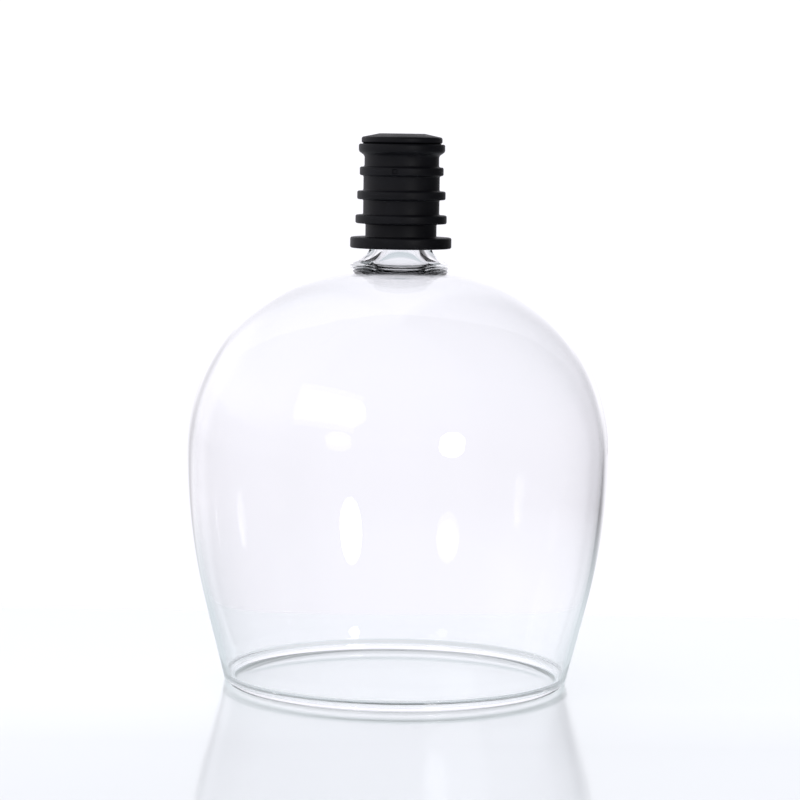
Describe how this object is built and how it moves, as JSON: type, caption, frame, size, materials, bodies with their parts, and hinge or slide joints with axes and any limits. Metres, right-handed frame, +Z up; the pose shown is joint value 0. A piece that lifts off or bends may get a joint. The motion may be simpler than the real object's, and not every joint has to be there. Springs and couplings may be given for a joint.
{
  "type": "bottle-top wine glass",
  "caption": "Blown glass wine bowl with a hollow stem and a ribbed black silicone stopper that plugs it onto a bottle's mouth.",
  "frame": {"origin": "centre of the rim, on the surface that the glass stands on, mouth down", "axes": "+Z up along the glass's axis, from the bowl's rim to the stopper's top; the part is round about it"},
  "size_m": [0.1008, 0.1008, 0.1315],
  "materials": {
    "clear_glass": "clear, fire-polished",
    "black_silicone": "matte moulded silicone"
  },
  "bodies": {
    "glass": {"glass_bowl": "clear_glass", "glass_stem": "clear_glass"},
    "stopper": {"stopper": "black_silicone"}
  },
  "joints": [
    {"name": "stopper_pull_off", "type": "slide", "parent": "glass", "child": "stopper", "axis": [0, 0, 1], "range_m": [0, 0.03]}
  ]
}
